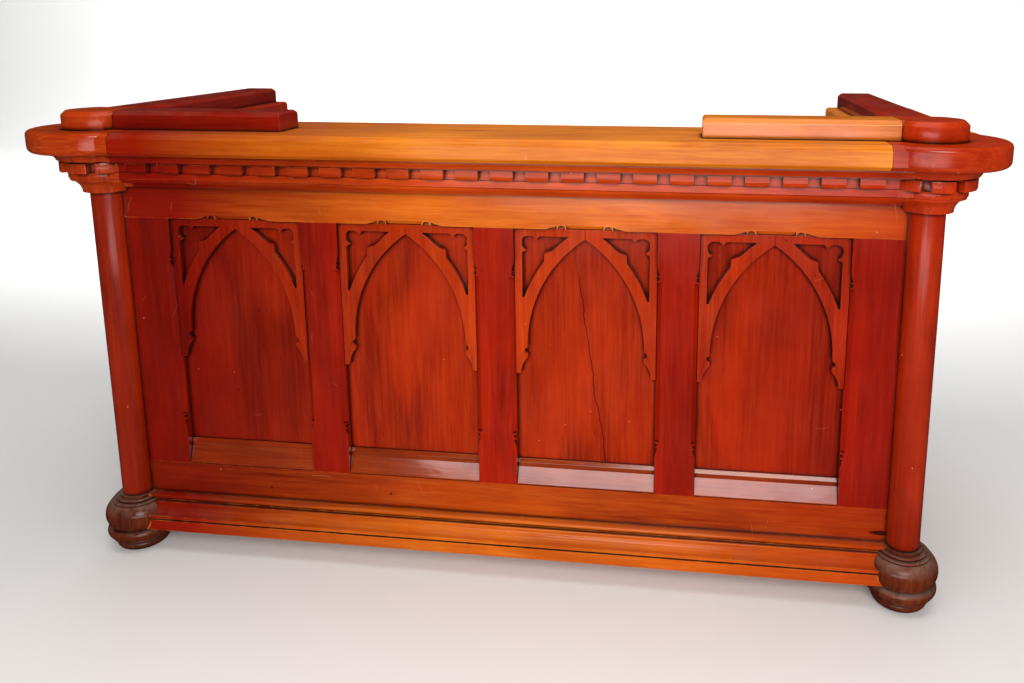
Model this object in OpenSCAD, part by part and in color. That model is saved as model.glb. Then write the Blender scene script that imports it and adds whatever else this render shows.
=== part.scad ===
// Communion table: a panelled front with four traceried bays between two turned columns,
// panelled returns, a U-shaped moulded capping with raised rails and a recessed inner board.
// Millimetres, +Z up. Design coordinates have y = 0 on the face of the front frame; every
// module shifts itself so that the origin is the bottom centre of the finished table.

/* [Overall] */
// Distance between the two column axes
column_spacing = 1600; // [1560:10:1800]
// Height of the main top surface
top_height = 910; // [890:5:940]
// Rear end of the side capping, measured back from the front frame's face
rear_end = 605; // [560:5:680]

/* [Panelled frames] */
// Thickness of rails, stiles and muntins
frame_thickness = 36; // [34:1:44]
// Clear width of one bay
bay_width = 278; // [270:1:286]
// Width of the muntins between the bays
muntin_width = 79; // [70:1:84]
// Height of the bottom rail's upper edge
bay_bottom = 187; // [180:1:200]
// Height of the top rail's lower edge
bay_top = 724; // [715:1:730]
// Height of the rails' underside above the floor
frame_bottom = 53; // [45:1:60]
// Depth of the panels behind the frame's face
panel_recess = 20; // [18:1:21]
// Thickness of the tracery boards
tracery_thickness = 13; // [8:1:15]

/* [Columns] */
// Radius of the column shafts
shaft_radius = 32; // [29:1:34]
// Height of the turned bases
base_height = 118; // [118:1:120]

/* [Capping] */
// Thickness of the capping boards
cap_thickness = 44; // [40:1:48]
// Projection of the capping beyond the frames' faces
cap_projection = 112; // [108:1:116]
// Radius of the rounded corner caps
corner_cap_radius = 130; // [126:1:134]
// Width of the front capping board
front_cap_width = 247; // [220:1:270]
// Thickness of the raised rails
raised_thickness = 36; // [30:1:42]
// Width of the raised rails
raised_width = 80; // [76:1:90]
// Half of the gap between the two front raised rails
raised_gap_half = 395; // [300:5:500]
// Spacing of the dentils
dentil_pitch = 65.7; // [60:0.1:80]

/* [Inside] */
// Height of the inner board's upper surface
inner_board_top = 760; // [700:5:790]
// Side of the square rear posts
rear_post_side = 60; // [50:1:70]

/* [Hidden] */

$fn = 64;

// Wood tones
gold = "#c4671c";
amber = "#b4501a";
red_brown = "#94280e";
dark_brown = "#6e2a18";
plain_wood = "#c79a62";
steel = "#8d8f92";

// Plan
column_x = column_spacing / 2;
frame_rear = rear_end - 15;
plan_centre = (rear_end - corner_cap_radius) / 2;
cap_bottom = top_height - cap_thickness;
// Overlap of a cut with the face it starts from
eps = 0.1;
// Clearance of a close joint, and of a loose one
fit_gap = 0.1;
slip = 0.2;
// Longer than anything that a trimming cut has to cross
reach = 400;

// Bays
bay_pitch = bay_width + muntin_width;
bay_height = bay_top - bay_bottom;
front_bays = [-1.5 * bay_pitch, -0.5 * bay_pitch, 0.5 * bay_pitch, 1.5 * bay_pitch];
front_muntin_centres = [-bay_pitch, 0, bay_pitch];
stile_inner = front_bays[3] + bay_width / 2;
side_bay = (frame_thickness + frame_rear) / 2;
groove_width = 10;
groove_depth = 10;
panel_entry = 8;
panel_play = 0.5;
tenon_length = 9;
tenon_end = column_x - 60;
groove_stop = 20;

// Stopped chamfers on the frames' arrises
arris_chamfer = 9;
stop_depth = 8;
stile_chamfer_bottom = bay_bottom + 112;
stile_chamfer_top = bay_top - 98;
notch_radius = 5;
notch_rise = 2 + notch_radius;
stop_rise = 2.6 * notch_radius;
stop_length = 20;
rail_chamfer_half = 36;
rail_notch_radius = 8;
rail_stop_length = 23;

// Tracery, measured from the bay's centre line and down from its top edge
springing_drop = 238;
arch_half_span = 115;
arch_radius = (pow(springing_drop - 20, 2) + pow(arch_half_span, 2)) / (2 * arch_half_span);
arch_centre = arch_half_span - arch_radius;
rib_width = 23;
leg_drop = 60;
leg_notch_drop = 12;
leg_notch_radius = 6;
leg_hollow_at = arch_half_span - 34;
leg_hollow_radius = 48;
piercing_top = 16;
piercing_start = 20;
piercing_side = bay_width / 2 - 15;
piercing_drop = 140;
// Foils of a piercing: distance inwards from its side, depth below the bay's top, radius
foils = [[78, 26, 18], [52, 36, 26], [14, 30, 15], [20, 72, 30], [8, 108, 32], [30, 46, 14]];
cusp_at = [piercing_side - 44, 50];

// Sills
sill_height = 51;
sill_toe = [1, 3];
sill_slope_depth = 8;
sill_slope_height = sill_height - 16;
sill_bead_depth = 3;
sill_bead_height = 7;

// Turned bases: rings and the necks between them as [bottom, height, radius]
base_rings = [[0, 18, 52], [20, 7, 60], [26, 24, 68], [102, 5, 53], [108, 5, 46]];
base_necks = [[17, 4, 46], [49, 4, 58], [106, 3, 45], [112, base_height - 112, 38]];
ball_centre = [35, 74];
ball_radius = 34;
ball_bottom = 51.5;
ball_height = 51;
spigot_radius = 14;
spigot_length = 29;
// Growth of the seat that is scribed round a base
seat_scale = 1.004;

// Cornice
cornice_height = 76;
cornice_bottom = cap_bottom - cornice_height;
dentil_bottom = cornice_bottom + 35.5;
dentil_height = 20;
dentil_width = 42;
dentil_projection = 64;
dentil_back = 50;
dentil_corner = 6;
dentil_nose = 9;
// Flat members of the cornice as [bottom, height, projection]
cornice_members = [[0, 12, 26], [12, 10, 38], [22, 13, 52], [35, 21, dentil_back]];
cornice_cove = [26, -4];
cornice_cove_radius = 15;
cornice_torus = [38, 22];
cornice_torus_radius = 10;
// Members above the dentils, shared with the capitals
bed_fillet = [56, 3, 64];
bed_cyma = [59, 13, 86];
bed_top = [72, 4, 88];
bed_cove = [88, 54];
bed_cove_radius = 17;
capital_drop = 9;
capital_bell = [-capital_drop, 31, 64];
capital_cove = [71, -capital_drop];
capital_cove_radius = 27;
capital_abacus = [22, 13, 66];
capital_dentil_arc = 30;
capital_dentil_step = 42;
joint_offset = 65;
joint_x = column_x - joint_offset;
capital_lead = 12;

// Plinth moulding: flat members as [bottom, height, projection]
plinth_members = [[0, 23, 47], [23, 3, 43]];
plinth_bead = [26, 6, 46];
plinth_quirk = [50, 26];
plinth_quirk_radius = 4;
plinth_slope = [32, 20, 44];
plinth_hollow = [46, 56];
plinth_hollow_radius = 24;
plinth_fillet = [52, 3, 17];
plinth_torus_bottom = 55;
plinth_torus_projection = 19;

// Capping boards: slopes of their front edge, eased arrises at the back
cap_bevel_depth = 11;
cap_bevel_above = 10;
cap_bevel_below = 7;
cap_ease = 5;
cap_round_above = 9;
cap_round_below = 12;

// Joint of the capping boards with the corner caps
cap_joint_offset = 90;
cap_joint_x = column_x - cap_joint_offset;

// Raised rails
raised_front = -52;
raised_rear = raised_front + raised_width;
raised_outer = column_x + 8;
raised_inner = raised_outer - raised_width;
raised_joint = column_x - 64;
raised_chamfer = 8;
raised_end_ease = 4;
raised_setback = 8;
raised_corner_radius = 63;
raised_corner_at = [column_x - 10, -20];

// Inside pieces
corner_post_side = 50;
inner_board_thickness = 22;
inner_board_bottom = inner_board_top - inner_board_thickness;
side_inner_face = column_x - frame_thickness;
rear_post_x = side_inner_face - rear_post_side;
rear_post_y = frame_rear - rear_post_side;
bearer_height = 40;
bearer_width = 22;
screw_radius = 2.2;
screw_hole_radius = 2.3;
screw_entry = 12;
screw_head_radius = 4.5;
screw_head_height = 2.9;
counterbore_radius = 4.6;
counterbore_depth = 3;
// Screws that hold the inner board down to its bearers, as plan positions
side_screws = [for (y = [160, 320, 480]) [side_inner_face - bearer_width / 2, y]];
front_screws = [for (x = [-540, -180, 180, 540]) [x, frame_thickness + bearer_width / 2]];
back_rail_height = 90;
back_rail_thickness = 25;
back_rail_tenon = 20;
tenon_shoulder = 15;
tenon_cheek = 7;
back_rail_bottoms = [80, inner_board_bottom - back_rail_height];
back_rail_y = frame_rear - rear_post_side / 2 - back_rail_thickness / 2;
block_side = 25;
front_block_x = [-600, -360, -120, 120, 360, 600];
side_block_y = [170, 300, 430];

// ---- Placing helpers ----

// Shifts a piece from design coordinates to the table's origin
module placed() {
    translate([0, -plan_centre, 0]) children();
}

// Turns a piece drawn against the front face round to the right-hand return
module on_right_side() {
    translate([column_x, 0, 0]) rotate([0, 0, 90]) children();
}

module on_left_side() {
    mirror([1, 0, 0]) on_right_side() children();
}

// Sweeps a profile drawn as (depth behind the face, height) along X
module along_x(from, to) {
    translate([from, 0, 0]) rotate([90, 0, 90]) linear_extrude(to - from) children();
}

// Sweeps a profile drawn as (projection, height) along the front face
module front_moulding(from, to) {
    along_x(from, to) mirror([1, 0]) children();
}

// Sweeps the same profile along the right-hand return
module side_moulding(from, to) {
    translate([column_x, to, 0]) rotate([90, 0, 0]) linear_extrude(to - from) children();
}

module at_column() {
    translate([column_x, 0, 0]) children();
}

module both_columns() {
    at_column() children();
    mirror([1, 0, 0]) at_column() children();
}

// Housing for a column: the shaft's hollow and the seat round its base
module column_housing() {
    translate([0, 0, frame_bottom - 1])
        cylinder(r = shaft_radius + fit_gap, h = top_height);
    translate([0, 0, base_height / 2]) scale(seat_scale)
        translate([0, 0, -base_height / 2]) base_turning();
}

// ---- Panelled frame parts, drawn on the face y = 0 with x along the face ----

// Arris cut along z at x = 0, for material on the +x and +y sides, with a notch and a point
// at each end
module stile_chamfer() {
    low = stile_chamfer_bottom;
    high = stile_chamfer_top;
    translate([0, 0, low]) linear_extrude(high - low)
        polygon([[-eps, -eps], [arris_chamfer, -eps], [-eps, arris_chamfer]]);
    translate([0, 0, high]) chamfer_stop();
    translate([0, 0, low]) mirror([0, 0, 1]) chamfer_stop();
}

module chamfer_stop() {
    translate([0, stop_depth, 0]) rotate([90, 0, 0]) linear_extrude(stop_depth + eps) {
        translate([0, notch_rise]) circle(r = notch_radius);
        polygon([[-eps, stop_rise], [notch_radius, stop_rise], [-eps, stop_rise + stop_length]]);
    }
}

// Cut in the lower edge of a top rail over one bay: a chamfer between two notched stops
module rail_chamfer() {
    along_x(-rail_chamfer_half, rail_chamfer_half)
        polygon([[-eps, -eps], [arris_chamfer, -eps], [-eps, arris_chamfer]]);
    for (side = [-1, 1]) scale([side, 1, 1]) rail_stop();
}

module rail_stop() {
    notch_at = rail_chamfer_half + rail_notch_radius + 1;
    point_from = notch_at + rail_notch_radius + 1;
    translate([0, stop_depth, 0]) rotate([90, 0, 0]) linear_extrude(stop_depth + eps) {
        translate([notch_at, 0]) circle(r = rail_notch_radius);
        polygon([
            [point_from, -eps],
            [point_from + rail_stop_length, -eps],
            [point_from, rail_notch_radius - 1]
        ]);
    }
}

// Groove that takes the panels and the stub tenons, cut upwards from z = 0
module rail_groove(from, to) {
    translate([from, panel_recess, -eps]) cube([to - from, groove_width, groove_depth + eps]);
}

module top_rail(from, to, bays, groove_from, groove_to) {
    difference() {
        translate([from, 0, bay_top]) cube([to - from, frame_thickness, cap_bottom - bay_top]);
        translate([0, 0, bay_top]) rail_groove(groove_from, groove_to);
        for (centre = bays) translate([centre, 0, bay_top]) rail_chamfer();
    }
}

module bottom_rail(from, to, groove_from, groove_to) {
    difference() {
        translate([from, 0, frame_bottom])
            cube([to - from, frame_thickness, bay_bottom - frame_bottom]);
        translate([0, 0, bay_bottom]) mirror([0, 0, 1]) rail_groove(groove_from, groove_to);
    }
}

// Upright with stub tenons; groove_at_from and groove_at_to say which edges meet a panel
module upright(from, to, groove_at_from, groove_at_to, tenon_from, tenon_to) {
    difference() {
        union() {
            translate([from, 0, bay_bottom]) cube([to - from, frame_thickness, bay_height]);
            translate([tenon_from, panel_recess + fit_gap, bay_bottom - tenon_length])
                cube([tenon_to - tenon_from, groove_width - 2 * fit_gap, bay_height + 2 * tenon_length]);
        }
        if (groove_at_from) translate([from, 0, 0]) panel_edge();
        if (groove_at_to) translate([to, 0, 0]) mirror([1, 0, 0]) panel_edge();
    }
}

// Groove and arris chamfer on an upright's edge at x = 0, for material on the +x side
module panel_edge() {
    translate([-eps, panel_recess, bay_bottom - groove_depth])
        cube([panel_entry + eps, groove_width, bay_height + 2 * groove_depth]);
    stile_chamfer();
}

module bay_panel(centre) {
    entry = panel_entry - panel_play;
    translate([centre - bay_width / 2 - entry, panel_recess + slip, bay_bottom - entry])
        cube([bay_width + 2 * entry, groove_width - 2 * slip, bay_height + 2 * entry]);
}

// Half of a tracery board: x from the apex joint outwards, y down from the bay's top edge
module tracery_outline() {
    outer = bay_width / 2 - slip;
    difference() {
        union() {
            translate([fit_gap, fit_gap]) square([outer - fit_gap, springing_drop - fit_gap]);
            translate([arch_half_span, springing_drop - eps])
                square([outer - arch_half_span, leg_drop + eps]);
        }
        intersection() {
            translate([arch_centre, springing_drop]) circle(r = arch_radius, $fn = 180);
            square([bay_width, springing_drop]);
        }
        spandrel_piercing();
        translate([arch_half_span, springing_drop + leg_notch_drop])
            circle(r = leg_notch_radius);
        translate([leg_hollow_at, springing_drop + leg_drop])
            circle(r = leg_hollow_radius, $fn = 96);
    }
}

// Three foils with long tails, held inside the spandrel between the strips and the arch rib,
// with a cusp on each of its three sides
module spandrel_piercing() {
    difference() {
        intersection() {
            translate([piercing_start, piercing_top])
                square([piercing_side - piercing_start, piercing_drop]);
            union() {
                for (foil = foils)
                    translate([piercing_side - foil[0], foil[1]]) circle(r = foil[2]);
            }
        }
        translate([arch_centre, springing_drop]) circle(r = arch_radius + rib_width, $fn = 180);
        rib_cusp();
    }
}

// Point that stands out from the rib into the piercing
module rib_cusp() {
    translate(cusp_at)
        polygon([[0, 0], [-14, -5], [-28, -16], [-20, 10], [1, 17]]);
}

module bay_tracery(centre) {
    front = panel_recess + fit_gap - tracery_thickness;
    translate([centre, front + tracery_thickness - fit_gap / 2, bay_top])
        for (side = [-1, 1]) scale([side, 1, 1]) rotate([90, 0, 0])
            linear_extrude(tracery_thickness) mirror([0, 1]) tracery_outline();
}

// Weathered sill: depth behind the face, height above the bay's lower edge
module bay_sill(centre) {
    back = panel_recess + fit_gap;
    half = bay_width / 2 - slip;
    translate([0, 0, bay_bottom]) along_x(centre - half, centre + half) {
        polygon([
            [sill_toe[0], 0], [back, 0], [back, sill_height], [back - sill_bead_depth, sill_height],
            [back - sill_slope_depth, sill_height - sill_bead_height],
            [back - sill_slope_depth, sill_slope_height], sill_toe
        ]);
    }
}

// ---- Front frame ----

module front_top_rail() {
    color(gold) placed() difference() {
        top_rail(-column_x, column_x, front_bays, -tenon_end, tenon_end);
        both_columns() column_housing();
    }
}

module front_bottom_rail() {
    color(amber) placed() difference() {
        bottom_rail(-column_x, column_x, -tenon_end, tenon_end);
        both_columns() column_housing();
    }
}

module outer_stile() {
    difference() {
        upright(stile_inner, column_x, true, false, stile_inner + groove_depth, tenon_end - 1);
        at_column() column_housing();
    }
}

module front_right_stile() {
    color(red_brown) placed() outer_stile();
}

module front_left_stile() {
    color(red_brown) placed() mirror([1, 0, 0]) outer_stile();
}

module front_muntins() {
    color(red_brown) placed() for (centre = front_muntin_centres)
        upright(centre - muntin_width / 2, centre + muntin_width / 2, true, true,
            centre - muntin_width / 2 + panel_entry, centre + muntin_width / 2 - panel_entry);
}

module front_panel(index) {
    color(red_brown) placed() bay_panel(front_bays[index]);
}

module front_tracery(index) {
    color(amber) placed() bay_tracery(front_bays[index]);
}

module front_panel_1() {
    front_panel(0);
}

module front_panel_2() {
    front_panel(1);
}

module front_panel_3() {
    front_panel(2);
}

module front_panel_4() {
    front_panel(3);
}

module front_tracery_1() {
    front_tracery(0);
}

module front_tracery_2() {
    front_tracery(1);
}

module front_tracery_3() {
    front_tracery(2);
}

module front_tracery_4() {
    front_tracery(3);
}

module front_sills() {
    color(amber) placed() for (centre = front_bays) bay_sill(centre);
}

// ---- Side frames, drawn for the right-hand return ----

module side_top_rail() {
    on_right_side() top_rail(frame_thickness, frame_rear, [side_bay],
        frame_thickness + groove_stop, frame_rear - groove_stop);
}

module side_bottom_rail() {
    difference() {
        on_right_side() bottom_rail(frame_thickness, frame_rear,
            frame_thickness + groove_stop, frame_rear - groove_stop);
        at_column() column_housing();
    }
}

module side_front_stile() {
    on_right_side() upright(frame_thickness, side_bay - bay_width / 2, false, true,
        frame_thickness + groove_stop + 1, side_bay - bay_width / 2 - panel_entry);
}

module side_rear_stile() {
    on_right_side() upright(side_bay + bay_width / 2, frame_rear, true, false,
        side_bay + bay_width / 2 + panel_entry, frame_rear - groove_stop - 1);
}

module right_side_top_rail() {
    color(gold) placed() side_top_rail();
}

module left_side_top_rail() {
    color(gold) placed() mirror([1, 0, 0]) side_top_rail();
}

module right_side_bottom_rail() {
    color(amber) placed() side_bottom_rail();
}

module left_side_bottom_rail() {
    color(amber) placed() mirror([1, 0, 0]) side_bottom_rail();
}

module right_side_front_stile() {
    color(red_brown) placed() side_front_stile();
}

module left_side_front_stile() {
    color(red_brown) placed() mirror([1, 0, 0]) side_front_stile();
}

module right_side_rear_stile() {
    color(red_brown) placed() side_rear_stile();
}

module left_side_rear_stile() {
    color(red_brown) placed() mirror([1, 0, 0]) side_rear_stile();
}

module right_side_panel() {
    color(red_brown) placed() on_right_side() bay_panel(side_bay);
}

module left_side_panel() {
    color(red_brown) placed() on_left_side() bay_panel(side_bay);
}

module right_side_tracery() {
    color(amber) placed() on_right_side() bay_tracery(side_bay);
}

module left_side_tracery() {
    color(amber) placed() on_left_side() bay_tracery(side_bay);
}

module side_sills() {
    color(amber) placed() {
        on_right_side() bay_sill(side_bay);
        on_left_side() bay_sill(side_bay);
    }
}

// ---- Columns ----

// Rounded ring of a turning: a disc with a half-round edge
module turned_ring(bottom, height, radius) {
    translate([0, bottom]) square([radius - height / 2, height]);
    translate([radius - height / 2, bottom + height / 2]) circle(d = height);
}

// Flat member of a moulding, given as [bottom, height, projection]
module member(size, lead = 0) {
    translate([0, size[0]]) square([size[2] + lead, size[1]]);
}

// Rings and necks below and above a ball that is cut flat where it meets them
module base_profile() {
    for (ring = base_rings) turned_ring(ring[0], ring[1], ring[2]);
    for (neck = base_necks) member(neck);
    intersection() {
        translate(ball_centre) circle(r = ball_radius);
        translate([0, ball_bottom]) square([reach, ball_height]);
    }
    translate([0, ball_bottom]) square([ball_centre[0], ball_height]);
}

module base_turning() {
    rotate_extrude($fn = 96) base_profile();
}

module column_base() {
    at_column() difference() {
        base_turning();
        translate([0, 0, base_height - spigot_length - 1])
            cylinder(r = spigot_radius + fit_gap, h = spigot_length + 2);
    }
}

module column_shaft() {
    at_column() {
        translate([0, 0, base_height]) cylinder(r = shaft_radius, h = cap_bottom - base_height);
        translate([0, 0, base_height - spigot_length])
            cylinder(r = spigot_radius, h = spigot_length + 1);
    }
}

// Capital mouldings as (radius, height above the cornice's lower edge)
module capital_profile() {
    difference() {
        member(capital_bell);
        translate(capital_cove) circle(r = capital_cove_radius);
    }
    member(capital_abacus);
    member(cornice_members[3], capital_lead);
    bed_profile(capital_lead);
}

// Upper members shared by the cornice and the capitals, above the dentils
module bed_profile(lead) {
    member(bed_fillet, lead);
    difference() {
        member(bed_cyma, lead);
        translate([bed_cove[0] + lead, bed_cove[1]]) circle(r = bed_cove_radius);
    }
    member(bed_top, lead);
}

module cornice_profile() {
    difference() {
        member(cornice_members[0]);
        translate(cornice_cove) circle(r = cornice_cove_radius);
    }
    for (i = [1 : 3]) member(cornice_members[i]);
    intersection() {
        translate(cornice_torus) circle(r = cornice_torus_radius);
        member(cornice_members[1], reach);
    }
    bed_profile(0);
}

// Curved dentils round a capital
module capital_dentils() {
    for (step = [-2, -1, 0, 1, 2])
        rotate([0, 0, -45 + capital_dentil_step * step - capital_dentil_arc / 2])
            rotate_extrude(angle = capital_dentil_arc, $fn = 96)
                translate([dentil_back + capital_lead - 2, dentil_bottom - cornice_bottom])
                    square([20, dentil_height]);
}

// Three-quarter collar that carries the cornice round the column
module column_capital() {
    difference() {
        union() {
            at_column() translate([0, 0, cornice_bottom]) {
                rotate_extrude($fn = 96) capital_profile();
                capital_dentils();
            }
            translate([0, 0, cornice_bottom]) {
                front_moulding(joint_x, column_x) cornice_profile();
                side_moulding(0, joint_offset) cornice_profile();
            }
        }
        at_column() translate([0, 0, cornice_bottom - 2 * capital_drop])
            cylinder(r = shaft_radius + fit_gap, h = cornice_height + 4 * capital_drop);
        translate([column_x - reach, 0, 0]) cube([reach, reach, top_height]);
        translate([joint_x - reach, -reach, 0]) cube([reach, 2 * reach, top_height]);
        translate([column_x - reach, joint_offset, 0]) cube([2 * reach, reach, top_height]);
    }
}

module right_column_base() {
    color(dark_brown) placed() column_base();
}

module left_column_base() {
    color(dark_brown) placed() mirror([1, 0, 0]) column_base();
}

module right_column_shaft() {
    color(red_brown) placed() column_shaft();
}

module left_column_shaft() {
    color(red_brown) placed() mirror([1, 0, 0]) column_shaft();
}

module right_column_capital() {
    color(amber) placed() column_capital();
}

module left_column_capital() {
    color(amber) placed() mirror([1, 0, 0]) column_capital();
}

// ---- Plinth ----

// Projection and height of the plinth moulding: fascia, groove, ogee slope and a bead on top
module plinth_profile() {
    height = base_height - frame_bottom;
    for (flat = plinth_members) member(flat);
    difference() {
        member(plinth_bead);
        translate(plinth_quirk) circle(r = plinth_quirk_radius);
    }
    difference() {
        member(plinth_slope);
        translate(plinth_hollow) circle(r = plinth_hollow_radius);
    }
    member(plinth_fillet);
    turned_ring(plinth_torus_bottom, height - plinth_torus_bottom, plinth_torus_projection);
}

module front_plinth() {
    color(gold) placed() difference() {
        translate([0, 0, frame_bottom]) front_moulding(-column_x, column_x) plinth_profile();
        both_columns() column_housing();
    }
}

module side_plinth() {
    difference() {
        translate([0, 0, frame_bottom]) side_moulding(0, frame_rear) plinth_profile();
        at_column() column_housing();
    }
}

module right_plinth() {
    color(gold) placed() side_plinth();
}

module left_plinth() {
    color(gold) placed() mirror([1, 0, 0]) side_plinth();
}

// ---- Cornice and dentils ----

module front_cornice() {
    color(amber) placed() translate([0, 0, cornice_bottom])
        front_moulding(-joint_x, joint_x) cornice_profile();
}

module side_cornice() {
    translate([0, 0, cornice_bottom]) side_moulding(joint_offset, frame_rear) cornice_profile();
}

module right_cornice() {
    color(amber) placed() side_cornice();
}

module left_cornice() {
    color(amber) placed() mirror([1, 0, 0]) side_cornice();
}

// One dentil, centred on x, its back at y = 0 and its rounded face towards -y
module dentil() {
    depth = dentil_projection - dentil_back - fit_gap;
    corner = dentil_corner;
    nose = dentil_nose;
    intersection() {
        translate([0, eps, 0]) rotate([90, 0, 0]) linear_extrude(depth + 2 * eps) {
            translate([-dentil_width / 2, corner]) square([dentil_width, dentil_height - corner]);
            translate([-dentil_width / 2 + corner, 0]) square([dentil_width - 2 * corner, corner + eps]);
            for (side = [-1, 1]) translate([side * (dentil_width / 2 - corner), corner])
                circle(r = corner, $fn = 32);
        }
        along_x(-dentil_width, dentil_width) {
            translate([-depth, nose]) square([depth, dentil_height - nose]);
            translate([nose - depth, 0]) square([depth - nose, nose + 1]);
            translate([nose - depth, nose]) circle(r = nose, $fn = 48);
        }
    }
}

// Row of dentils filling a straight length, drawn along x on the face of the cornice
module dentil_row(from, to) {
    count = floor((to - from) / dentil_pitch);
    start = (from + to - (count - 1) * dentil_pitch) / 2;
    for (i = [0 : count - 1])
        translate([start + i * dentil_pitch, -dentil_back - fit_gap, dentil_bottom]) dentil();
}

module front_dentils() {
    color(amber) placed() dentil_row(-joint_x, joint_x);
}

module right_dentils() {
    color(amber) placed() on_right_side() dentil_row(joint_offset, frame_rear);
}

module left_dentils() {
    color(amber) placed() on_left_side() dentil_row(joint_offset, frame_rear);
}

// ---- Capping ----

// Section of a capping board: depth behind the face plane, height
module cap_section(front, back) {
    bevelled = front + cap_bevel_depth;
    t = cap_thickness;
    polygon([
        [bevelled, 0], [back - cap_ease, 0], [back, cap_ease], [back, t - cap_ease],
        [back - cap_ease, t], [bevelled, t], [front, t - cap_bevel_above], [front, cap_bevel_below]
    ]);
}

module front_cap_board() {
    color(gold) placed() translate([0, 0, cap_bottom])
        along_x(-cap_joint_x + fit_gap, cap_joint_x - fit_gap)
            cap_section(-cap_projection, front_cap_width - cap_projection);
}

// Section of a corner cap's edge as (radius, height), rounded more below than above
module corner_cap_section() {
    r = corner_cap_radius;
    half = cap_thickness / 2;
    above = cap_round_above;
    below = cap_round_below;
    translate([0, half]) square([r - above, half]);
    square([r - below, half]);
    translate([0, below]) square([r, cap_thickness - above - below]);
    translate([r - above, cap_thickness - above]) circle(r = above);
    translate([r - below, below]) circle(r = below);
}

// Round corner cap that runs on as board as far as its two joints
module corner_cap() {
    intersection() {
        translate([0, 0, cap_bottom]) {
            at_column() rotate_extrude($fn = 128) corner_cap_section();
            along_x(cap_joint_x, column_x) cap_section(-cap_projection, cap_joint_offset);
            rotate([90, 0, 180]) linear_extrude(cap_joint_offset) translate([-column_x, 0])
                cap_section(-cap_projection, cap_joint_offset);
        }
        translate([cap_joint_x, -reach, 0])
            cube([reach, reach + cap_joint_offset, 2 * top_height]);
    }
}

module right_corner_cap() {
    color(amber) placed() corner_cap();
}

module left_corner_cap() {
    color(amber) placed() mirror([1, 0, 0]) corner_cap();
}

// Side board, cut away where the front board runs behind the corner cap
module side_cap_board() {
    board_back = front_cap_width - cap_projection;
    inner_edge = raised_inner - 26;
    difference() {
        translate([0, cap_joint_offset + fit_gap, cap_bottom]) rotate([90, 0, 180])
            linear_extrude(rear_end - cap_joint_offset - fit_gap)
                translate([-column_x, 0]) cap_section(-cap_projection, column_x - inner_edge);
        translate([0, 0, cap_bottom - 1])
            cube([cap_joint_x, board_back + fit_gap, cap_thickness + 2]);
    }
}

module right_cap_board() {
    color(gold) placed() side_cap_board();
}

module left_cap_board() {
    color(gold) placed() mirror([1, 0, 0]) side_cap_board();
}

// ---- Raised rails ----

// Section of a raised rail, chamfered along both upper arrises
module raised_section(front, back) {
    c = raised_chamfer;
    t = raised_thickness;
    polygon([[front, 0], [back, 0], [back, t - c], [back - c, t], [front + c, t], [front, t - c]]);
}

// Slanting cut that eases the upper edge of a rail's end at x = 0, material on the +x side
module end_chamfer() {
    c = raised_end_ease;
    translate([0, 0, top_height + raised_thickness - c])
        rotate([90, 0, 0]) linear_extrude(2 * column_spacing, center = true)
            polygon([[-eps, -eps], [-eps, c + 1], [c + 1, c + 1]]);
}

module front_raised_rail() {
    difference() {
        translate([0, 0, top_height]) along_x(raised_gap_half, raised_joint - fit_gap)
            raised_section(raised_front, raised_rear);
        translate([raised_gap_half, 0, 0]) end_chamfer();
    }
}

module side_raised_rail() {
    rear = rear_end - raised_setback;
    difference() {
        translate([column_x, raised_rear + fit_gap, top_height]) rotate([90, 0, 180])
            linear_extrude(rear - raised_rear - fit_gap)
                raised_section(column_x - raised_outer, column_x - raised_inner);
        translate([0, rear, 0]) rotate([0, 0, -90]) end_chamfer();
    }
}

// Rounded corner block that joins the front and side raised rails
module raised_corner() {
    c = raised_chamfer;
    r = raised_corner_radius;
    translate([0, 0, top_height]) difference() {
        union() {
            translate([raised_corner_at[0], raised_corner_at[1], 0]) rotate_extrude($fn = 96)
                polygon([[0, 0], [r, 0], [r, raised_thickness - c], [r - c, raised_thickness],
                    [0, raised_thickness]]);
            intersection() {
                along_x(raised_joint, raised_outer) raised_section(raised_front, raised_rear);
                translate([column_x, raised_front, 0]) rotate([90, 0, 180])
                    linear_extrude(raised_width)
                        raised_section(column_x - raised_outer, column_x - raised_inner);
            }
            translate([raised_joint, raised_corner_at[1], 0])
                cube([30, raised_rear - raised_corner_at[1] - c, raised_thickness]);
            translate([raised_joint, 0, 0])
                cube([raised_outer - raised_joint - c, raised_rear, raised_thickness]);
        }
        translate([raised_joint - reach, -reach, -1]) cube([reach, 2 * reach, reach]);
        translate([raised_joint - reach, raised_rear, -1]) cube([2 * reach, reach, reach]);
    }
}

module right_front_raised_rail() {
    color(gold) placed() front_raised_rail();
}

module left_front_raised_rail() {
    color(red_brown) placed() mirror([1, 0, 0]) front_raised_rail();
}

module right_side_raised_rail() {
    color(red_brown) placed() side_raised_rail();
}

module left_side_raised_rail() {
    color(red_brown) placed() mirror([1, 0, 0]) side_raised_rail();
}

module right_raised_corner() {
    color(amber) placed() raised_corner();
}

module left_raised_corner() {
    color(amber) placed() mirror([1, 0, 0]) raised_corner();
}

// ---- Inside ----

module corner_post() {
    bottom = base_height + 2;
    translate([side_inner_face - corner_post_side, frame_thickness, bottom])
        cube([corner_post_side, corner_post_side, cap_bottom - bottom]);
}

module corner_posts() {
    color(plain_wood) placed() {
        corner_post();
        mirror([1, 0, 0]) corner_post();
    }
}

// Mortises in the rear posts have the tenons' section plus a slip gap
module back_rail_tenons(gap) {
    for (bottom = back_rail_bottoms)
        translate([rear_post_x - eps, back_rail_y + tenon_cheek - gap, bottom + tenon_shoulder - gap])
            cube([back_rail_tenon + eps + gap, back_rail_thickness - 2 * tenon_cheek + 2 * gap,
                back_rail_height - 2 * tenon_shoulder + 2 * gap]);
}

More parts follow.
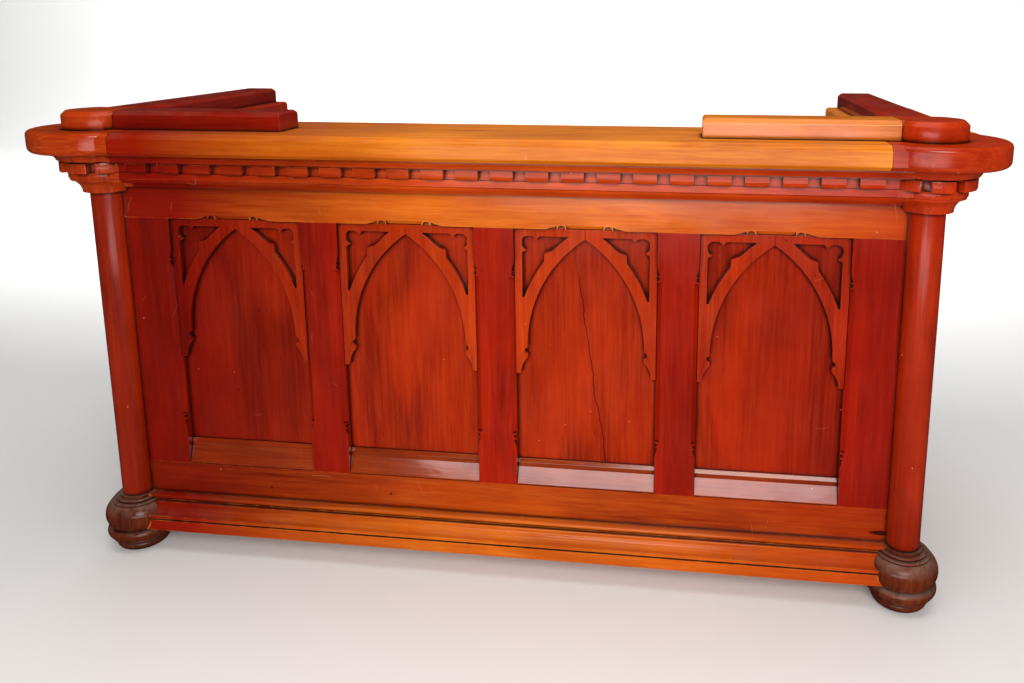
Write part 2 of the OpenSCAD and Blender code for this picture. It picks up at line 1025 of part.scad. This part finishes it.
module rear_post() {
    difference() {
        translate([rear_post_x, rear_post_y, 0])
            cube([rear_post_side, rear_post_side, cap_bottom]);
        back_rail_tenons(fit_gap);
    }
}

module rear_posts() {
    color(plain_wood) placed() {
        rear_post();
        mirror([1, 0, 0]) rear_post();
    }
}

module back_rails() {
    color(plain_wood) placed() {
        for (bottom = back_rail_bottoms)
            translate([-rear_post_x, back_rail_y, bottom])
                cube([2 * rear_post_x, back_rail_thickness, back_rail_height]);
        back_rail_tenons(0);
        mirror([1, 0, 0]) back_rail_tenons(0);
    }
}

module at_screws() {
    bottom = inner_board_bottom - bearer_height;
    for (at = front_screws) translate([at[0], at[1], bottom]) children();
    for (at = side_screws, side = [-1, 1]) translate([side * at[0], at[1], bottom]) children();
}

module inner_board() {
    color(plain_wood) placed() difference() {
        translate([-side_inner_face + slip, frame_thickness + slip, inner_board_bottom])
            cube([2 * (side_inner_face - slip), frame_rear - frame_thickness - slip,
                inner_board_thickness]);
        for (side = [-1, 1]) scale([side, 1, 1]) {
            translate([side_inner_face - corner_post_side - slip, 0, 0])
                cube([reach, frame_thickness + corner_post_side + slip, top_height]);
            translate([rear_post_x - slip, rear_post_y - slip, 0])
                cube([reach, reach, top_height]);
        }
        at_screws() cylinder(r = screw_hole_radius, h = bearer_height + screw_entry, $fn = 24);
    }
}

module board_bearers() {
    bottom = inner_board_bottom - bearer_height;
    front_half = side_inner_face - corner_post_side - 1;
    side_from = frame_thickness + corner_post_side + 1;
    color(plain_wood) placed() difference() {
        union() {
            translate([-front_half, frame_thickness, bottom])
                cube([2 * front_half, bearer_width, bearer_height]);
            for (side = [-1, 1]) scale([side, 1, 1])
                translate([side_inner_face - bearer_width, side_from, bottom])
                    cube([bearer_width, rear_post_y - side_from - 1, bearer_height]);
        }
        at_screws() {
            translate([0, 0, -1]) cylinder(r = screw_hole_radius, h = bearer_height + 2, $fn = 24);
            translate([0, 0, -eps])
                cylinder(r = counterbore_radius, h = counterbore_depth + eps, $fn = 24);
        }
    }
}

module bearer_screws() {
    color(steel) placed() at_screws() {
        cylinder(r = screw_radius, h = bearer_height + screw_entry - 1, $fn = 24);
        cylinder(r = screw_head_radius, h = screw_head_height, $fn = 24);
    }
}

module glue_blocks() {
    color(plain_wood) placed() {
        for (x = front_block_x)
            translate([x - block_side, frame_thickness, cap_bottom - block_side])
                cube([2 * block_side, block_side, block_side]);
        for (y = side_block_y, side = [-1, 1]) scale([side, 1, 1])
            translate([side_inner_face - block_side, y, cap_bottom - block_side])
                cube([block_side, 2 * block_side, block_side]);
    }
}

front_top_rail();
front_bottom_rail();
front_left_stile();
front_right_stile();
front_muntins();
front_panel_1();
front_panel_2();
front_panel_3();
front_panel_4();
front_tracery_1();
front_tracery_2();
front_tracery_3();
front_tracery_4();
front_sills();
left_side_top_rail();
left_side_bottom_rail();
left_side_front_stile();
left_side_rear_stile();
left_side_panel();
left_side_tracery();
right_side_top_rail();
right_side_bottom_rail();
right_side_front_stile();
right_side_rear_stile();
right_side_panel();
right_side_tracery();
side_sills();
left_column_base();
left_column_shaft();
left_column_capital();
right_column_base();
right_column_shaft();
right_column_capital();
front_plinth();
left_plinth();
right_plinth();
front_cornice();
left_cornice();
right_cornice();
front_dentils();
left_dentils();
right_dentils();
front_cap_board();
left_cap_board();
right_cap_board();
left_corner_cap();
right_corner_cap();
left_front_raised_rail();
right_front_raised_rail();
left_side_raised_rail();
right_side_raised_rail();
left_raised_corner();
right_raised_corner();
corner_posts();
rear_posts();
back_rails();
inner_board();
board_bearers();
bearer_screws();
glue_blocks();
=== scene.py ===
"""Looks of the communion table: polished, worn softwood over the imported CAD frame."""

import math

import bpy
from mathutils import Matrix, Vector


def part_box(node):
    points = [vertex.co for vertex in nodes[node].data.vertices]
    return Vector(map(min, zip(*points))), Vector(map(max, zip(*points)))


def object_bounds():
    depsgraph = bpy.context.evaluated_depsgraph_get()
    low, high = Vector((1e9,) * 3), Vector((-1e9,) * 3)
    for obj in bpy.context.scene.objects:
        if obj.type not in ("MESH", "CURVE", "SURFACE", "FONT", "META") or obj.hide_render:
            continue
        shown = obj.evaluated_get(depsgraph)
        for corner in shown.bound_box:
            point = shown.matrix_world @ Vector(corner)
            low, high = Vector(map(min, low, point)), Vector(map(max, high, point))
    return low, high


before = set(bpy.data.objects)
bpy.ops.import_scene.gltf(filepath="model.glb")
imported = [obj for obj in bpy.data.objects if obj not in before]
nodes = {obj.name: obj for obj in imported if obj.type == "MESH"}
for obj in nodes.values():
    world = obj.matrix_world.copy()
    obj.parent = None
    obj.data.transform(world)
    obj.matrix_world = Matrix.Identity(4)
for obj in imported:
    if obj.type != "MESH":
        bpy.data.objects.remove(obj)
cad_low, cad_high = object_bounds()
centre = (cad_low + cad_high) / 2
half_width = (cad_high.x - cad_low.x) / 2


# ---------------------------------------------------------------------------
# Shader graph helper
# ---------------------------------------------------------------------------

OCCLUSION_SAMPLES = 8


class Graph:
    """Adds and links the nodes of one material."""

    def __init__(self, name):
        self.material = bpy.data.materials.new(name)
        self.material.use_nodes = True
        self.tree = self.material.node_tree
        self.tree.nodes.clear()

    def node(self, kind, inputs=None, **settings):
        made = self.tree.nodes.new(kind)
        for key, value in settings.items():
            setattr(made, key, value)
        for key, value in (inputs or {}).items():
            self.feed(made.inputs[key], value)
        return made

    def feed(self, socket, value):
        if isinstance(value, bpy.types.NodeSocket):
            self.tree.links.new(value, socket)
        else:
            socket.default_value = value

    def object_place(self):
        return self.node("ShaderNodeTexCoord").outputs["Object"]

    def geometry(self, output):
        """Components of the shaded point's position or normal."""
        return self.split(self.node("ShaderNodeNewGeometry").outputs[output])

    def split(self, vector):
        return self.node("ShaderNodeSeparateXYZ", {0: vector}).outputs

    def noise(self, vector, scale, detail=3.0, rough=0.5, distortion=0.0):
        values = {"Vector": vector, "Scale": scale, "Detail": detail, "Roughness": rough,
                  "Distortion": distortion}
        return self.node("ShaderNodeTexNoise", values).outputs["Fac"]

    def voronoi(self, vector, scale, output):
        made = self.node("ShaderNodeTexVoronoi", {"Vector": vector, "Scale": scale})
        return made.outputs[output]

    def occlusion(self, distance, inside=False):
        made = self.node("ShaderNodeAmbientOcclusion", {"Distance": distance},
                         samples=OCCLUSION_SAMPLES, inside=inside)
        return made.outputs["AO"]

    def ramp(self, value, low, high, to_low=0.0, to_high=1.0):
        values = {"Value": value, "From Min": low, "From Max": high, "To Min": to_low,
                  "To Max": to_high}
        return self.node("ShaderNodeMapRange", values, clamp=True).outputs["Result"]

    def maths(self, operation, a, b=0.0):
        made = self.node("ShaderNodeMath", operation=operation)
        self.feed(made.inputs[0], a)
        self.feed(made.inputs[1], b)
        return made.outputs[0]

    def times(self, a, b):
        return self.maths("MULTIPLY", a, b)

    def plus(self, a, b):
        return self.maths("ADD", a, b)

    def minus(self, a, b):
        return self.maths("SUBTRACT", a, b)

    def mix(self, factor, a, b, blend="MIX"):
        made = self.node("ShaderNodeMix", data_type="RGBA", blend_type=blend)
        self.feed(made.inputs[0], factor)
        self.feed(made.inputs[6], a)
        self.feed(made.inputs[7], b)
        return made.outputs[2]

    def stretched(self, vector, scale):
        made = self.node("ShaderNodeMapping", {"Vector": vector, "Scale": scale})
        return made.outputs["Vector"]

    def bump(self, height, strength, distance, normal=None):
        values = {"Height": height, "Strength": strength, "Distance": distance}
        if normal is not None:
            values["Normal"] = normal
        return self.node("ShaderNodeBump", values).outputs["Normal"]

    def shaded(self, values):
        """Ends the graph in one shader and returns its material."""
        shader = self.node("ShaderNodeBsdfPrincipled", values)
        out = self.node("ShaderNodeOutputMaterial")
        self.tree.links.new(shader.outputs[0], out.inputs["Surface"])
        return self.material


# ---------------------------------------------------------------------------
# Polished and plain timber
# ---------------------------------------------------------------------------

# Linear colours of the polish: bottom of the grain, general tone, brightest streaks
PALETTES = {
    "honey": ((0.50, 0.100, 0.003), (0.82, 0.225, 0.008), (0.95, 0.38, 0.03)),
    "gold": ((0.50, 0.080, 0.003), (0.82, 0.175, 0.008), (0.95, 0.32, 0.03)),
    "amber": ((0.34, 0.024, 0.001), (0.66, 0.070, 0.003), (0.84, 0.150, 0.010)),
    "tan": ((0.27, 0.022, 0.001), (0.52, 0.066, 0.003), (0.66, 0.145, 0.010)),
    "red": ((0.19, 0.004, 0.0003), (0.39, 0.011, 0.0006), (0.54, 0.034, 0.002)),
    "panel": ((0.22, 0.008, 0.0004), (0.48, 0.027, 0.0012), (0.62, 0.070, 0.004)),
    "russet": ((0.20, 0.018, 0.001), (0.38, 0.046, 0.003), (0.52, 0.10, 0.008)),
    "scarlet": ((0.27, 0.012, 0.0006), (0.54, 0.040, 0.002), (0.68, 0.085, 0.005)),
    "dark": ((0.050, 0.008, 0.003), (0.16, 0.024, 0.006), (0.30, 0.070, 0.018)),
    "plain": ((0.24, 0.12, 0.05), (0.40, 0.23, 0.10), (0.52, 0.33, 0.17)),
}
DUST = (0.30, 0.20, 0.15, 1.0)
BARE_WOOD = (0.80, 0.46, 0.22, 1.0)
# Near black for the painted shade in corners and quirks, and for dents, the split and the chip
GRIME_AND_SHADE = (0.020, 0.003, 0.0015, 1.0)
WHITE = (1.0, 1.0, 1.0, 1.0)

# Towards the table's left end painted shade darkens and reddens the colour, where the light
# falls off; towards the right end the polish is darkened and reddened. Both act over these
# reaches of its half width
LEFT_END_SHADE_AND_TINT = (0.40, 0.055, 0.04, 1.0)
LEFT_END_REACH = (-0.70, -0.12)
RIGHT_END_TINT = (0.80, 0.42, 0.35, 1.0)
RIGHT_END_REACH = (0.20, 0.80)

# How many times finer the figure is across the grain than along it
ACROSS = 26.0
AXES = {"X": (1.0, ACROSS, ACROSS), "Y": (ACROSS, 1.0, ACROSS), "Z": (ACROSS, ACROSS, 1.0)}
BAND_STRETCH = 0.16

# Reach of the painted shade in the corners and of the rubbing on the arrises, in metres
CORNER_SHADE_REACH = 0.011
ARRIS_REACH = 0.0035


def opaque(colour):
    return (*colour, 1.0)


def grain_figure(g, place, axis):
    """Growth figure: broad bands drawn out along the grain, and fine streaks over them."""
    slow = g.stretched(place, tuple(1.0 + (s - 1.0) * BAND_STRETCH for s in AXES[axis]))
    fine = g.stretched(place, AXES[axis])
    bands = g.noise(slow, 2.3, detail=4.0, rough=0.55, distortion=0.7)
    streaks = g.noise(fine, 5.5, detail=5.0, rough=0.65, distortion=0.3)
    hairs = g.noise(fine, 22.0, detail=2.0, rough=0.6)
    return bands, streaks, hairs


def stained(g, place, grain, tones, figure):
    """Colour of the clean polish over the grain."""
    bands, streaks, hairs = grain
    dark, middle, light = tones
    colour = g.mix(g.ramp(bands, 0.30, 0.62), dark, middle)
    colour = g.mix(g.ramp(streaks, 0.42, 0.75, 0.0, 0.60 * figure), colour, light)
    colour = g.mix(g.ramp(hairs, 0.48, 0.30, 0.0, 0.35 * figure), colour, dark)
    blotch = g.noise(place, 4.2, detail=4.0, rough=0.6)
    return g.mix(g.ramp(blotch, 0.42, 0.68, 0.0, 0.45), colour, dark)


def end_shade_and_tint(g, right_end):
    """Painted shade and tint at the table's left end, and tint of the polish at its right end;
    right_end is 0 or 1.
    """
    across = g.geometry("Position")["X"]
    from_left = g.ramp(across, *(centre.x + r * half_width for r in LEFT_END_REACH))
    left = g.mix(from_left, LEFT_END_SHADE_AND_TINT, WHITE)
    to_right = g.ramp(across, *(centre.x + r * half_width for r in RIGHT_END_REACH))
    right = g.mix(g.times(to_right, right_end), WHITE, RIGHT_END_TINT)
    return g.mix(1.0, left, right, "MULTIPLY")


def rubbed_and_corner_shaded(g, place, colour, light, wear):
    """Painted shade in the corners and quirks, thin polish on the exposed arrises."""
    # Painted shade: corners and quirks darken where ambient occlusion finds them hemmed in
    painted_corner_shade = g.ramp(g.occlusion(CORNER_SHADE_REACH), 0.90, 0.48, 0.0, 0.97)
    colour = g.mix(painted_corner_shade, colour, GRIME_AND_SHADE)
    broken = g.ramp(g.noise(place, 38.0, detail=4.0), 0.45, 0.65)
    exposed = g.ramp(g.occlusion(ARRIS_REACH, inside=True), 0.72, 0.45, 0.0, 0.55 * wear)
    return g.mix(g.times(exposed, broken), colour, light)


def scattered(g, place, scale, size, share, channel):
    """Spots with soft edges, one in each of a few of a Voronoi texture's cells."""
    distance = g.voronoi(place, scale, "Distance")
    draw = g.node("ShaderNodeSeparateColor", {"Color": g.voronoi(place, scale, "Color")})
    return g.times(g.ramp(distance, *size), g.ramp(draw.outputs[channel], *share))


def wear_masks(g, place):
    """Pale specks, dark dents and short hairline scratches."""
    specks = scattered(g, place, 38.0, size=(0.060, 0.035), share=(0.86, 0.88), channel=0)
    dents = scattered(g, place, 19.0, size=(0.075, 0.025), share=(0.82, 0.84), channel=1)
    wander = g.noise(g.stretched(place, (3.0, 3.0, 1.2)), 5.0, detail=0.0)
    line = g.ramp(g.maths("ABSOLUTE", g.minus(wander, 0.5)), 0.0022, 0.0006)
    patch = g.ramp(g.noise(place, 17.0, detail=1.0), 0.64, 0.70)
    return specks, dents, g.times(line, patch)


def split_mask(g, where):
    """Hairline split that wanders down the third front panel, further right as it falls."""
    low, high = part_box("front_panel_3")
    middle = (low + high) / 2
    lean, sway, start = 0.145, 0.034, 0.010
    spot = g.split(where)
    wander = g.noise(g.stretched(where, (0.0, 0.0, 1.0)), 9.0, detail=4.0, rough=0.6)
    across = g.plus(spot["X"], g.times(spot["Z"], lean))
    across = g.plus(across, g.times(wander, sway))
    offset = g.minus(across, middle.x + lean * middle.z + 0.5 * sway + start)
    line = g.ramp(g.maths("ABSOLUTE", offset), 0.0012, 0.0005)
    begun = g.ramp(spot["Z"], high.z - 0.06, high.z - 0.12)
    return g.times(line, begun)


def chip_mask(g, where):
    """Splintered chip low on the bottom rail, beside the right-hand column."""
    column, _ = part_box("right_column_shaft")
    _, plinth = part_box("front_plinth")
    chip_x, chip_z = column.x - 0.008, plinth.z + 0.018
    per_length, per_height = 38.0, 190.0  # five times as long as it is high
    spot = g.split(where)
    ragged = g.noise(g.stretched(where, (1.0, 1.0, 4.0)), 60.0, detail=3.0)
    along = g.times(g.minus(spot["X"], chip_x), per_length)
    above = g.times(g.minus(spot["Z"], chip_z), per_height)
    distance = g.plus(g.times(along, along), g.times(above, above))
    return g.ramp(g.plus(distance, g.times(ragged, 1.6)), 1.75, 1.35)


def relief(g, place, axis, grain, dents):
    """Normals of the wood, with its pores and dents, and of the film of polish over it."""
    _, streaks, hairs = grain
    height = g.plus(g.times(streaks, 0.5), g.times(hairs, 0.5))
    wood = g.bump(height, 0.22, 0.0006)
    wood = g.bump(g.times(dents, -1.0), 0.5, 0.0015, wood)
    along = tuple(0.5 + s / ACROSS for s in AXES[axis])
    film = g.bump(g.noise(g.stretched(place, along), 13.0, detail=3.0), 0.24, 0.0018)
    film = g.bump(height, 0.05, 0.0005, film)
    return wood, film


def timber(name, palette, axis, seed, polish=1.0, dust=0.0, figure=1.0, wear=1.0, shade_and_tint_share=1.0,
           right_end=1.0, coat_ior=1.5, haze=0.0, mark=None):
    """Wood with grain along one axis under a shellac polish.

    seed moves the figure about, so that no two pieces match. polish, dust, figure and wear
    scale what they name, haze dulls the film, and mark adds one dark flaw.
    """
    g = Graph(name)
    tones = [opaque(colour) for colour in PALETTES[palette]]
    where = g.object_place()
    shift = (1.7 * seed, 0.9 * seed, 2.3 * seed)
    place = g.node("ShaderNodeVectorMath", {0: where, 1: shift}, operation="ADD").outputs[0]
    grain = grain_figure(g, place, axis)

    colour = stained(g, place, grain, tones, figure)
    # Painted shade towards the table's left end, with the end tints
    colour = g.mix(shade_and_tint_share, colour, end_shade_and_tint(g, right_end), "MULTIPLY")
    # Painted shade in the corners and quirks, and lighter rubbed arrises
    colour = rubbed_and_corner_shaded(g, place, colour, tones[2], wear)

    specks, dents, scratches = wear_masks(g, place)
    colour = g.mix(g.times(specks, 0.65 * wear), colour, BARE_WOOD)
    colour = g.mix(g.times(dents, 0.85 * wear), colour, GRIME_AND_SHADE)
    colour = g.mix(g.times(scratches, 0.26 * wear), colour, BARE_WOOD)
    if mark:
        colour = g.mix(g.times(mark(g, where), 0.9), colour, GRIME_AND_SHADE)

    # Dust lies on upward faces, in patches
    upwards = g.geometry("Normal")["Z"]
    patches = g.ramp(g.noise(place, 14.0, detail=5.0, rough=0.7), 0.40, 0.62)
    settled = g.times(g.times(g.ramp(upwards, 0.2, 0.9), patches), dust)
    colour = g.mix(settled, colour, DUST)

    # The polish is uneven, and faces that look upwards have lost some of their gloss
    uneven = g.noise(place, 9.0, detail=4.0, rough=0.6)
    roughness = g.ramp(uneven, 0.3, 0.7, 0.66 - 0.20 * polish, 0.78 - 0.18 * polish)
    film_roughness = g.ramp(uneven, 0.3, 0.7, 0.08 + haze, 0.20 + haze)
    film_roughness = g.plus(film_roughness, g.times(settled, 0.5))
    gloss = g.ramp(upwards, 0.40, 0.60, 0.9 * polish, 0.36 * polish)
    wood_normal, film_normal = relief(g, place, axis, grain, dents)

    return g.shaded({
        "Base Color": colour, "Roughness": roughness, "Specular IOR Level": 0.03,
        "Normal": wood_normal, "Coat Weight": gloss, "Coat Roughness": film_roughness,
        "Coat IOR": coat_ior, "Coat Normal": film_normal})


def steel(name):
    """Dull zinc-plated steel with brown stains."""
    g = Graph(name)
    scuffs = g.noise(g.object_place(), 900.0, detail=3.0)
    zinc, brown = (0.42, 0.42, 0.43, 1.0), (0.20, 0.15, 0.11, 1.0)
    return g.shaded({
        "Base Color": g.mix(g.ramp(scuffs, 0.4, 0.7), zinc, brown), "Metallic": 1.0,
        "Roughness": g.ramp(scuffs, 0.3, 0.7, 0.3, 0.6), "Normal": g.bump(scuffs, 0.2, 0.0002)})


# ---------------------------------------------------------------------------
# Which timber each piece is made of
# ---------------------------------------------------------------------------

# Finish of the pieces whose names hold one of the words; the first line that fits counts.
# Each finish's share of the end colouring, painted shade and tint at the left end and tint at
# the right, says how much of it a piece takes, and right_end 0 leaves the tint out at the
# table's right end.
FINISHES = (
    (("corner_posts", "rear_posts", "back_rails", "inner_board", "board_bearers", "glue_blocks"),
     {"palette": "plain", "polish": 0.05, "wear": 0.4, "dust": 0.2, "shade_and_tint_share": 0.15}),
    (("column_base",), {"palette": "dark", "polish": 0.9, "dust": 0.5, "shade_and_tint_share": 0.1}),
    (("panel",), {"palette": "panel", "figure": 0.8, "wear": 0.6, "shade_and_tint_share": 0.85}),
    (("shaft",), {"palette": "panel", "figure": 0.7, "shade_and_tint_share": 0.3, "haze": 0.08}),
    (("stile", "muntin"), {"palette": "red", "figure": 0.7, "shade_and_tint_share": 0.55}),
    (("left_front_raised_rail", "side_raised_rail"),
     {"palette": "red", "dust": 0.12, "shade_and_tint_share": 0.45}),
    (("right_front_raised_rail",), {"palette": "honey", "right_end": 0.0, "coat_ior": 1.75}),
    (("cap_board",), {"palette": "honey", "dust": 0.10, "right_end": 0.0, "polish": 0.5}),
    (("right_corner", "right_raised_corner", "right_column_capital"),
     {"palette": "amber", "shade_and_tint_share": 0.9, "haze": 0.05}),
    (("corner", "capital"), {"palette": "amber", "shade_and_tint_share": 0.35, "haze": 0.05}),
    (("sills",), {"palette": "russet", "shade_and_tint_share": 0.6, "coat_ior": 2.0}),
    (("tracery",), {"palette": "scarlet", "shade_and_tint_share": 0.95}),
    (("bottom_rail",), {"palette": "tan", "shade_and_tint_share": 0.9}),
    (("cornice", "dentils"), {"palette": "amber", "polish": 0.65}),
    (("",), {"palette": "gold", "dust": 0.10}),  # every other piece
)
MARKS = {"front_panel_3": split_mask, "front_bottom_rail": chip_mask}

# Width of the softened arrises, in metres, for pieces whose names hold the word
ARRIS_WIDTH = {"tracery": 0.0016, "dentils": 0.0014, "raised": 0.0022, "cap": 0.0018}
PLAIN_ARRIS = 0.001
ARRIS_ANGLE = math.radians(35)
WELD_DISTANCE = 0.00001


def holds(name, words):
    return any(word in name for word in words)


def finish_of(name):
    return next(finish for words, finish in FINISHES if holds(name, words))


def grain_axis(name):
    """Grain runs along a piece's longest side; turned and upright pieces keep it vertical."""
    if holds(name, ("column", "panel", "tracery", "stile", "muntin", "posts")):
        return "Z"
    if name.startswith(("left_side", "right_side", "side_")):
        return "Y"
    if holds(name, ("corner_cap", "raised_corner", "front", "back_rails", "inner_board",
                    "bearers")):
        return "X"
    return "Y"


def soften(piece, width):
    """Joins the mesh's split corners and rounds its arrises slightly."""
    weld = piece.modifiers.new("weld", "WELD")
    weld.merge_threshold = WELD_DISTANCE
    bevel = piece.modifiers.new("arris", "BEVEL")
    bevel.width = width
    bevel.segments = 2
    bevel.limit_method = "ANGLE"
    bevel.angle_limit = ARRIS_ANGLE
    bevel.harden_normals = True


def dress_pieces():
    for seed, name in enumerate(sorted(nodes), start=1):
        piece = nodes[name]
        if name == "bearer_screws":
            material = steel("screw_steel")
        else:
            material = timber(name + "_wood", axis=grain_axis(name), seed=seed,
                              mark=MARKS.get(name), **finish_of(name))
        piece.data.materials.clear()
        piece.data.materials.append(material)
        soften(piece, next((w for word, w in ARRIS_WIDTH.items() if word in name), PLAIN_ARRIS))


# ---------------------------------------------------------------------------
# Stage
# ---------------------------------------------------------------------------

FLOOR_REACH = 7.0
BACKDROP_HEIGHT = 6.0
BACKDROP_BEND = 1.6
BEND_STEPS = 16
FLOOR_TONES = (0.86, 0.86, 0.86, 1.0), (0.92, 0.92, 0.91, 1.0)


def floor_profile():
    """Points (y, z) of the floor, of the quarter bend behind it and of the backdrop's top."""
    points = [(-FLOOR_REACH, 0.0), (FLOOR_REACH - BACKDROP_BEND, 0.0)]
    for step in range(1, BEND_STEPS + 1):
        turn = math.pi / 2 * step / BEND_STEPS
        points.append((FLOOR_REACH - BACKDROP_BEND + BACKDROP_BEND * math.sin(turn),
                       BACKDROP_BEND - BACKDROP_BEND * math.cos(turn)))
    points.append((FLOOR_REACH, BACKDROP_HEIGHT))
    return points


def pale_floor():
    """A studio floor that curves up into a backdrop; the polish doesn't reflect it."""
    profile = floor_profile()
    verts = [(x, y, z) for y, z in profile for x in (-2 * FLOOR_REACH, 2 * FLOOR_REACH)]
    faces = [(2 * i, 2 * i + 1, 2 * i + 3, 2 * i + 2) for i in range(len(profile) - 1)]
    mesh = bpy.data.meshes.new("floor")
    mesh.from_pydata(verts, [], faces)
    for face in mesh.polygons:
        face.use_smooth = True
    floor = bpy.data.objects.new("floor", mesh)
    bpy.context.scene.collection.objects.link(floor)
    g = Graph("studio_floor")
    mottle = g.mix(g.noise(g.object_place(), 0.6, detail=2.0), *FLOOR_TONES)
    mesh.materials.append(g.shaded({"Base Color": mottle, "Roughness": 0.9,
                                    "Specular IOR Level": 0.1}))
    floor.visible_glossy = False


# ---------------------------------------------------------------------------
# Light
# ---------------------------------------------------------------------------

# World strength for ordinary rays and for rays reflected in the polish
WORLD_LIGHT = 0.37
WORLD_IN_POLISH = 0.015


def area_light(name, place, aim, size, radiance, colour=(1.0, 1.0, 1.0), reflected=True):
    """Lamp whose brightness is given per unit of its area."""
    light = bpy.data.lights.new(name, "AREA")
    light.shape = "ELLIPSE"
    light.size, light.size_y = size
    area = size[0] * size[1] * math.pi / 4
    light.energy = radiance * math.pi * area
    light.color = colour
    lamp = bpy.data.objects.new(name, light)
    bpy.context.scene.collection.objects.link(lamp)
    lamp.location = place
    lamp.rotation_mode = "QUATERNION"
    lamp.rotation_quaternion = (Vector(aim) - Vector(place)).to_track_quat("-Z", "Y")
    lamp.visible_glossy = reflected


def studio_world():
    """White surroundings that light the table evenly but reflect only faintly in its polish."""
    world = bpy.data.worlds.new("studio")
    world.use_nodes = True
    tree = world.node_tree
    path = tree.nodes.new("ShaderNodeLightPath")
    strength = tree.nodes.new("ShaderNodeMapRange")
    strength.inputs["To Min"].default_value = WORLD_LIGHT
    strength.inputs["To Max"].default_value = WORLD_IN_POLISH
    tree.links.new(path.outputs["Is Glossy Ray"], strength.inputs["Value"])
    seen = tree.nodes.new("ShaderNodeMath")
    seen.operation = "MAXIMUM"
    tree.links.new(strength.outputs["Result"], seen.inputs[0])
    tree.links.new(path.outputs["Is Camera Ray"], seen.inputs[1])
    background = tree.nodes["Background"]
    background.inputs["Color"].default_value = WHITE
    tree.links.new(seen.outputs[0], background.inputs["Strength"])
    bpy.context.scene.world = world


def light_scene():
    studio_world()
    front = Vector((centre.x, cad_low.y, 0.5 * cad_high.z))
    area_light("low_card", (0.22, -2.05, 0.60), front + Vector((0.1, 0.0, 0.1)), (2.0, 0.46),
               3.4, (1.0, 0.84, 0.84))
    area_light("softbox", (0.75, -2.9, 2.2), front + Vector((0.15, 0.0, 0.0)), (1.9, 1.3), 8.0,
               (1.0, 0.95, 0.88))
    area_light("overhead", (0.25, -0.5, 3.0), centre, (2.8, 1.8), 2.4)
    area_light("backdrop_wash", (-1.2, 2.2, 3.4), (-1.2, 6.8, 1.2), (8.0, 1.6), 14.0,
               reflected=False)
    bpy.context.scene.view_settings.view_transform = "Standard"
    bpy.context.scene.view_settings.look = "None"


# ---------------------------------------------------------------------------
# Camera
# ---------------------------------------------------------------------------

# Viewpoint: a little right of the middle, close in front, just above the capping
EYE = Vector((0.3793, -1.8118, 1.1017))
EYE_YAW, EYE_PITCH, EYE_ROLL = -0.1288, -0.1892, 0.0008
LENS_OVER_WIDTH = 0.8363
SENSOR_WIDTH = 36.0
LENS_SHIFT = {"shift_x": -0.0694, "shift_y": -0.1456}
NEAR_CLIP = 0.01


def eye_turn():
    """Rotation of a camera that looks along the eye's yaw and pitch, rolled about that line."""
    forward = Vector((math.sin(EYE_YAW) * math.cos(EYE_PITCH),
                      math.cos(EYE_YAW) * math.cos(EYE_PITCH), math.sin(EYE_PITCH)))
    level = Vector((math.cos(EYE_YAW), -math.sin(EYE_YAW), 0.0))
    upright = level.cross(forward)
    right = math.cos(EYE_ROLL) * level - math.sin(EYE_ROLL) * upright
    up = math.sin(EYE_ROLL) * level + math.cos(EYE_ROLL) * upright
    return Matrix((right, up, -forward)).transposed().to_4x4()


def lens_shift(camera, setting, amount):
    """Shifts the lens at this viewpoint only, so that a view from elsewhere is centred."""
    driver = camera.data.driver_add(setting).driver
    driver.type = "SCRIPTED"
    for axis in "XYZ":
        variable = driver.variables.new()
        variable.name = axis.lower()
        variable.type = "TRANSFORMS"
        variable.targets[0].id = camera
        variable.targets[0].transform_type = "LOC_" + axis
        variable.targets[0].transform_space = "WORLD_SPACE"
    near = [f"abs({a.lower()} - ({v:.4f})) < 0.001" for a, v in zip("XYZ", EYE)]
    driver.expression = f"({amount}) if " + " and ".join(near) + " else 0.0"


def make_camera():
    data = bpy.data.cameras.new("camera")
    data.sensor_width = SENSOR_WIDTH
    data.lens = LENS_OVER_WIDTH * SENSOR_WIDTH
    data.clip_start = NEAR_CLIP
    camera = bpy.data.objects.new("camera", data)
    bpy.context.scene.collection.objects.link(camera)
    camera.matrix_world = Matrix.Translation(EYE) @ eye_turn()
    for setting, amount in LENS_SHIFT.items():
        lens_shift(camera, setting, amount)
    bpy.context.scene.camera = camera


dress_pieces()
pale_floor()
light_scene()
make_camera()
